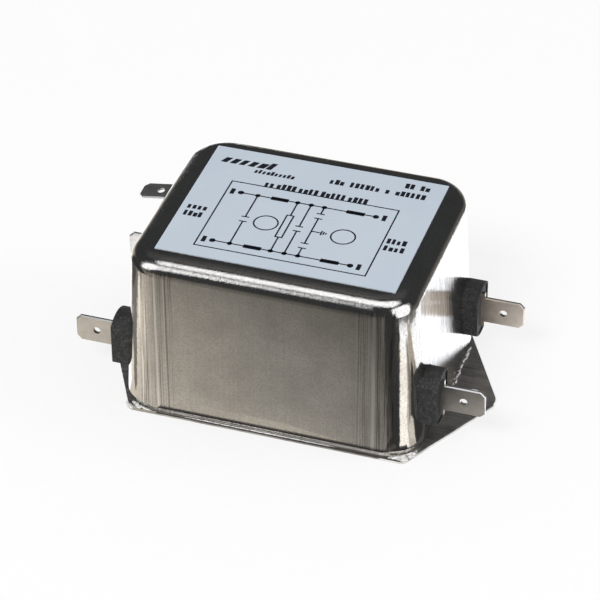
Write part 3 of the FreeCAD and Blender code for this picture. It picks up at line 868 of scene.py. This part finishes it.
# Cards on the bench: name, tone, layer over the bench, and corners in millimetres
MAT_EDGE = (
    (24.5, -25), (31, -26), (34, -28), (38, -31), (43, -34), (49, -37), (58, -40),
    (75, -44), (89, -55), (149, -106), (1200, -1010),
)
MAT_RIGHT_END = (
    (1200, 150), (170, 0), (95, -14), (79, -12), (77, 0), (72, 18), (66, 30), (62, 60),
    (60, 80), (45, 84), (20, 80), (24.5, 30),
)
BENCH_CARDS = (
    ("mat_cream", CREAM, 2, (*MAT_EDGE[:7], (72, -43), (64, -24), (45, -21), (28, -20))),
    ("dull_stripe", DULL_CREAM, 3, (
        (32, -22), (44, -26.5), (75, -27.5), (75, -21), (60, -17.5), (48, -16), (38, -17),
    )),
    ("brown_stripe", BROWN, 4, (
        (37, -20), (44, -24.5), (72, -25.5), (72, -22), (60, -19.5), (48, -18), (39, -18),
    )),
    ("corner_light", CORNER_LIGHT, 6, ((36, -20), (44, -19.8), (45.2, -22.4), (41, -24), (37, -23.2))),
    ("corner_shade", BLACK, 7, (
        (35, -19.9), (44, -19.7), (45.3, -22.3), (52, -21.6), (58, -19.6), (65, -18), (66, -14),
        (50, -11), (38.5, -11),
    )),
    ("ear_shadow", EDGE_GREY, 5, ((29.9, -24.7), (32, -25.6), (45, -1.2), (42.5, -0.5))),
    # Painted shadow: the part's own shadow on the bench before its right corner, as the metal mirrors it,
    # with a softer rim
    ("painted_shadow_front_right", BLACK, 1, (
        (29, -32), (33, -46), (40, -66), (62, -110), (600, -1400), *reversed(MAT_EDGE),
    )),
    ("painted_shadow_front_right_rim", SHADE, 2, (
        (28, -31), (31, -31), (36, -46), (43, -64), (65, -109), (59, -110), (37, -66), (31, -47),
    )),
    ("mat_right", WHITE, 1, (*MAT_EDGE, *MAT_RIGHT_END)),
    ("gap_right", BLACK, 2, (
        (66, -58), (75, -46), (80, -33), (83, -15), (82, 0), (88, 0), (90, -15), (87, -35),
        (81, -50), (71, -62),
    )),
    ("stripe_right", BEIGE, 2, ((56, -19), (81, -22), (81, -12), (62, -6))),
    ("mat_left_end", DARK, 1, (
        (-80, 12), (-140, 40), (-1000, 200), (-1000, -400), (-95, -72), (-80, -60),
    )),
    ("mat_behind_left", WHITE, 1, (
        (-120, 140), (-88, 95), (-75, 60), (-60, 20), (-54, 0), (-46, -12), (-38, -19),
        (-24.5, -20), (-24.5, 30), (-370, 1200), (-722, 958),
    )),
    ("left_shade", BROWN_SHADE, 2, (
        (-34, -23.5), (-40, -21.5), (-47, -19), (-55, -11), (-62, 5), (-69, 25), (-92, 25),
        (-94, -14), (-75, -20), (-60, -23.5), (-47, -25), (-38, -25),
    )),
    ("left_shade_deep", SHADE, 3, ((-66, 0), (-72, 25), (-92, 25), (-94, -10), (-76, -12))),
    ("mat_front_left", WARM_GREY, 1, ((-52, -78), (-72, -66), (-170, -190), (-90, -230), (-42, -78))),
    ("window_foot", BEIGE, 1, ((-190, -84), (-1100, -430), (-1040, -600), (-180, -112))),
    ("foot_shadow", BLACK, 6, (
        (-24, -24.62), (-24, -26), (24, -26), (31, -27), (34, -24), (31, -22), (26, -24.62),
    )),
    ("foot_shade", SHADE, 5, (
        (-24, -26), (-24, -27.2), (24, -27.2), (30, -28.5), (31, -27), (24, -26),
    )),
    ("foot_light", FOOT_LIGHT, 1, ((-22, -27.2), (-20, -30), (2, -29.5), (18, -27.2))),
)

# Cards round the part: name, tone, how much nearer, and corners by azimuth and elevation in degrees
DOME_RADIUS = 1.7
DOME_SEGMENTS = 48
DOME_RINGS = 24
CARD_RADIUS = 1.5
SKY_CARDS = (
    ("panel_over_front", WHITE, 0, (
        (-148, 63), (-128, 54), (-108, 50), (-60, 49), (-45, 42), (-12, 42), (2, 60), (-15, 75),
        (-90, 80), (-140, 78),
    )),
    ("window_front_left", WHITE, 0, (
        (-160, -2), (-146, -2), (-125, 12), (-107, 26), (-106, 37), (-116, 46), (-138, 42),
        (-151, 32), (-158, 12),
    )),
    ("panel_right", WHITE, 0, ((-44, -2), (-45, 26), (-35, 31), (-5, 27), (6, 14), (8, 0), (8, -2))),
    ("backdrop_gap", WHITE, 0, ((108, -2), (126, -2), (125, 6), (120, 13), (112, 13), (108, 6))),
    ("ceiling", DIM, 0, (
        (22, 50), (60, 46), (105, 47), (150, 47), (185, 50), (190, 76), (110, 80), (22, 78),
    )),
    ("ceiling_middle", BRIGHTER_DIM, 0.05, (
        (60, 65), (90, 62), (120, 62), (150, 63), (168, 67), (168, 76), (110, 78), (60, 75),
    )),
)


def only_mirrored(sheet):
    """Shows in the metal alone, like the flags round a product shot."""
    sheet.visible_camera = False
    sheet.visible_diffuse = False
    sheet.visible_shadow = False
    sheet.visible_transmission = False
    sheet.visible_volume_scatter = False


def flat_sheet(name, corners, material):
    """A sheet of one face."""
    mesh = bpy.data.meshes.new(name)
    mesh.from_pydata([tuple(c) for c in corners], [], [tuple(range(len(corners)))])
    mesh.materials.append(material)
    sheet = bpy.data.objects.new(name, mesh)
    bpy.context.scene.collection.objects.link(sheet)
    return sheet


class Glow:
    """An emission material with room for nodes."""

    def __init__(self, name, color=(1, 1, 1)):
        self.material = bpy.data.materials.new(name)
        self.material.use_nodes = True
        self.tree = self.material.node_tree
        self.tree.nodes.clear()
        self.emission = self.tree.nodes.new("ShaderNodeEmission")
        self.emission.inputs["Color"].default_value = (*color, 1)
        output = self.tree.nodes.new("ShaderNodeOutputMaterial")
        self.tree.links.new(self.emission.outputs["Emission"], output.inputs["Surface"])


def lookup(tree, value, stops):
    """A colour read off a row of stops, by a length in millimetres."""
    low = stops[0][0]
    high = stops[-1][0]
    place = tree.nodes.new("ShaderNodeMapRange")
    place.inputs["From Min"].default_value = low * MM
    place.inputs["From Max"].default_value = high * MM
    tree.links.new(value, place.inputs["Value"])
    ramp = tree.nodes.new("ShaderNodeValToRGB")
    elements = ramp.color_ramp.elements
    while len(elements) < len(stops):
        elements.new(0.5)
    for element, (position, color) in zip(elements, stops):
        element.position = (position - low) / (high - low)
        element.color = (*color, 1)
    tree.links.new(place.outputs["Result"], ramp.inputs["Fac"])
    return ramp.outputs["Color"]


def greys(gains):
    """Stops of a brightness as stops of a colour."""
    return [(position, (gain, gain, gain)) for position, gain in gains]


def combined(tree, operation, first, second):
    """Two vectors or colours put together by one vector operation."""
    made = tree.nodes.new("ShaderNodeVectorMath")
    made.operation = operation
    for index, value in enumerate((first, second)):
        if isinstance(value, tuple):
            made.inputs[index].default_value = value
        else:
            tree.links.new(value, made.inputs[index])
    return made


def bench_material():
    """Warm grey, paler to the left and close to the part, that fades into the dark."""
    glow = Glow("bench")
    tree = glow.tree
    place = tree.nodes.new("ShaderNodeTexCoord").outputs["Object"]
    moved = combined(tree, "ADD", place, (-MIRROR_SHIFT, 0, 0)).outputs["Vector"]
    across = combined(tree, "DOT_PRODUCT", moved, (1, -MIRROR_SLANT, 0)).outputs["Value"]
    split = tree.nodes.new("ShaderNodeSeparateXYZ")
    tree.links.new(place, split.inputs["Vector"])
    away = combined(tree, "DISTANCE", place, BRIGHT_MIDDLE).outputs["Value"]
    tone = lookup(tree, across, BENCH_TONES)
    near = lookup(tree, split.outputs["Y"], greys(NEAR_GAINS))
    far = lookup(tree, away, greys(FAR_GAINS))
    for factor in (near, far, (BENCH_GAIN, BENCH_GAIN, BENCH_GAIN)):
        tone = combined(tree, "MULTIPLY", tone, factor).outputs["Vector"]
    result = combined(tree, "MAXIMUM", tone, DARK).outputs["Vector"]
    tree.links.new(result, glow.emission.inputs["Color"])
    return glow.material


def make_bench():
    """The bench as the metal mirrors it: grey before the part, pale and dark mats to its sides, and
    painted shadows of the part on it.
    """
    reach = BENCH_REACH
    corners = [(-reach, -reach), (reach, -reach), (reach, reach), (-reach, reach)]
    only_mirrored(flat_sheet("bench", [(x, y, BENCH_HEIGHT) for x, y in corners], bench_material()))
    for name, tone, layer, outline in BENCH_CARDS:
        height = BENCH_HEIGHT + layer * BENCH_LAYER
        corners = [(x * MM, y * MM, height) for x, y in outline]
        only_mirrored(flat_sheet(name, corners, Glow(name, tone).material))


def dome_point(azimuth, elevation, radius):
    """A point round the part, by its azimuth and elevation in degrees."""
    turn = math.radians(azimuth)
    lift = math.radians(elevation)
    flat = math.cos(lift)
    return Vector((flat * math.cos(turn), flat * math.sin(turn), math.sin(lift))) * radius


def make_sky():
    """A dark room round the part, with the panels and windows that its curves pick up."""
    mesh = bpy.data.meshes.new("dark_room")
    shape = bmesh.new()
    bmesh.ops.create_uvsphere(
        shape, u_segments=DOME_SEGMENTS, v_segments=DOME_RINGS, radius=DOME_RADIUS,
    )
    shape.to_mesh(mesh)
    shape.free()
    mesh.materials.append(Glow("dark_room", DARK).material)
    room = bpy.data.objects.new("dark_room", mesh)
    bpy.context.scene.collection.objects.link(room)
    only_mirrored(room)
    for name, tone, nearer, outline in SKY_CARDS:
        radius = CARD_RADIUS - nearer
        corners = [dome_point(azimuth, elevation, radius) for azimuth, elevation in outline]
        only_mirrored(flat_sheet(name, corners, Glow(name, tone).material))


# Floor, surround and lamps
FLOOR_HALF = 4.0
FLOOR_LIFT = 0.72
PAPER_GREY = (0.93, 0.93, 0.93)
PAPER_WHITE = (0.95, 0.95, 0.95)
FILL_STRENGTH = 0.62
LAMP_AIM = (0, 0, 0.02)
# Name, place, size and power of each lamp
LAMPS = (
    ("key_softbox", (-0.15, -0.75, 0.85), (0.5, 0.25), 5.3),
    ("side_softbox", (0.8, 0.15, 0.5), (0.4, 0.4), 2.0),
)


def white_where_seen(tree):
    """One where the camera sees a surface, also in metal or glass, nothing for the light it gives."""
    path = tree.nodes.new("ShaderNodeLightPath")
    seen = path.outputs["Is Camera Ray"]
    for name in ("Is Glossy Ray", "Is Transmission Ray"):
        either = tree.nodes.new("ShaderNodeMath")
        either.operation = "MAXIMUM"
        tree.links.new(seen, either.inputs[0])
        tree.links.new(path.outputs[name], either.inputs[1])
        seen = either.outputs["Value"]
    return seen


def make_floor():
    """Pale paper, lifted towards white where it is seen, that keeps a soft shadow."""
    look = Shader("floor_paper", Roughness=0.9, Specular_IOR_Level=0.1)
    grain = look.noise(400, 2.0, 0.5)
    look.color(look.mix(look.full(grain, 0.0, 1.0), PAPER_GREY, PAPER_WHITE))
    lift = look.math("MULTIPLY", white_where_seen(look.tree), FLOOR_LIFT)
    white = look.node("ShaderNodeEmission")
    blend = look.node("ShaderNodeMixShader")
    look.link(lift, blend.inputs["Fac"])
    look.link(look.surface.outputs["BSDF"], blend.inputs[1])
    look.link(white.outputs["Emission"], blend.inputs[2])
    look.link(blend.outputs["Shader"], look.tree.nodes["Material Output"].inputs["Surface"])
    half = FLOOR_HALF
    corners = [(-half, -half, 0), (half, -half, 0), (half, half, 0), (-half, half, 0)]
    flat_sheet("floor", corners, look.material)


def make_world():
    """A white surround where it is seen or mirrored, and a softer one as fill light."""
    world = bpy.data.worlds.new("studio")
    bpy.context.scene.world = world
    world.use_nodes = True
    tree = world.node_tree
    background = tree.nodes["Background"]
    seen = white_where_seen(tree)
    strength = tree.nodes.new("ShaderNodeMapRange")
    strength.inputs["To Min"].default_value = FILL_STRENGTH
    strength.inputs["To Max"].default_value = 1.0
    tree.links.new(seen, strength.inputs["Value"])
    background.inputs["Color"].default_value = (1, 1, 1, 1)
    tree.links.new(strength.outputs["Result"], background.inputs["Strength"])


def softbox(name, place, size, power):
    """A soft lamp that lights the part and doesn't show in its metal."""
    data = bpy.data.lights.new(name, "AREA")
    data.shape = "RECTANGLE"
    data.size, data.size_y = size
    data.energy = power
    lamp = bpy.data.objects.new(name, data)
    lamp.location = place
    lamp.rotation_mode = "QUATERNION"
    lamp.rotation_quaternion = (Vector(LAMP_AIM) - Vector(place)).to_track_quat("-Z", "Y")
    lamp.visible_glossy = False
    bpy.context.scene.collection.objects.link(lamp)


def make_studio():
    make_floor()
    make_world()
    make_bench()
    make_sky()
    for name, place, size, power in LAMPS:
        softbox(name, place, size, power)


make_camera()
finish_nodes()
make_label()
make_solder()
make_studio()

bpy.context.scene.view_settings.view_transform = "Standard"
